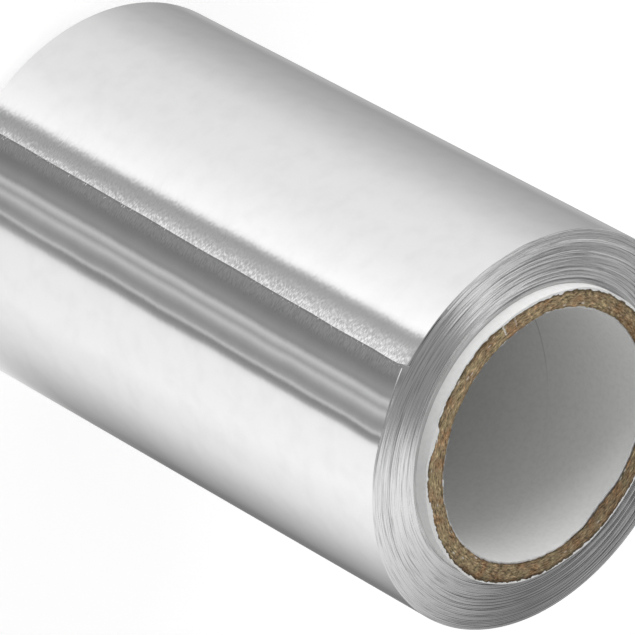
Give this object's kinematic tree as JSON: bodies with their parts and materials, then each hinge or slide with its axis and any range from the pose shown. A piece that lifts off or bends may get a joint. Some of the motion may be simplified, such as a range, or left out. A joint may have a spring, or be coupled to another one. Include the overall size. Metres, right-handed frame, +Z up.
{
  "type": "aluminium foil roll",
  "caption": "Roll of bright aluminium foil wound on a paper-lined brown board core that stands a little proud of the foil at both ends, with a loose straight free edge.",
  "frame": {"origin": "middle of the core's end that the roll stands on", "axes": "+Z up along the roll's axis, -Y the front, where the foil's free edge lies, +X to the right"},
  "size_m": [0.0766, 0.0768, 0.125],
  "materials": {
    "foil": "bright rolled, with fine lines around the roll",
    "white_paper": "matt white paper",
    "brown_board": "rough cut edge of wound brown board"
  },
  "bodies": {
    "root": {"foil_winding": "foil", "core_outer_wrap": "white_paper", "core_board": "brown_board", "core_liner": "white_paper"}
  },
  "joints": []
}
